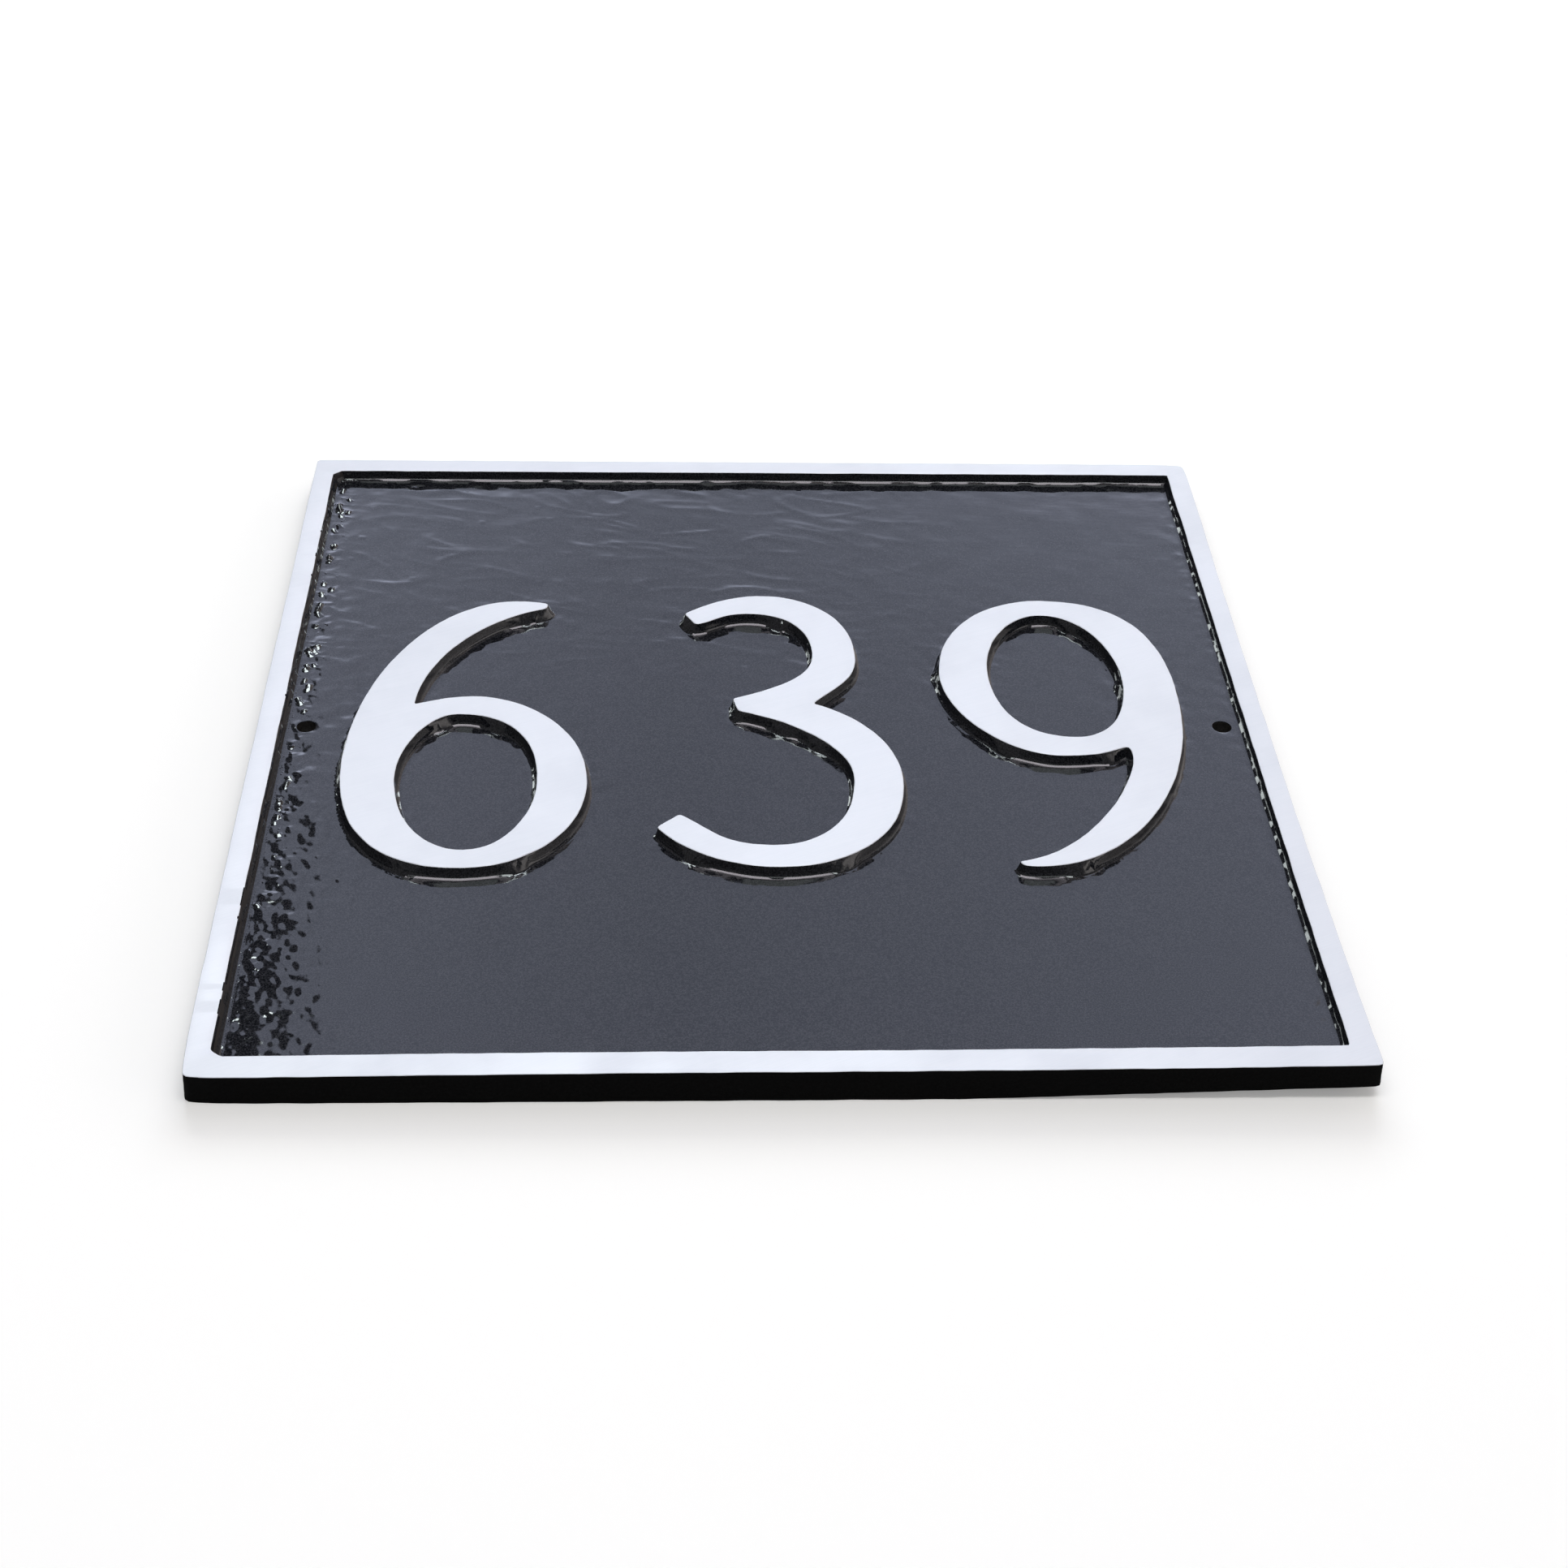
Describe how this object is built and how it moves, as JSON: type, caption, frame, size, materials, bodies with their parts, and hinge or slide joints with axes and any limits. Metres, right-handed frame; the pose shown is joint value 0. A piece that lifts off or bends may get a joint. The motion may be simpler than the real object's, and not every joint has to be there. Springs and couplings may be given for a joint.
{
  "type": "house number plaque",
  "caption": "Square cast plaque with a raised border and raised numerals on a sunk glossy field, fixed through a screw hole at each side.",
  "frame": {"origin": "middle of the back face, with the plaque lying on its back", "axes": "+Z out of the face, +Y towards the top of the numerals, +X to the right of a reader"},
  "size_m": [0.254, 0.254, 0.008],
  "materials": {
    "casting": "cast aluminium in gloss black paint, with the border and numerals sanded back to pale bare metal"
  },
  "bodies": {
    "root": {"plaque": "casting"}
  },
  "joints": []
}
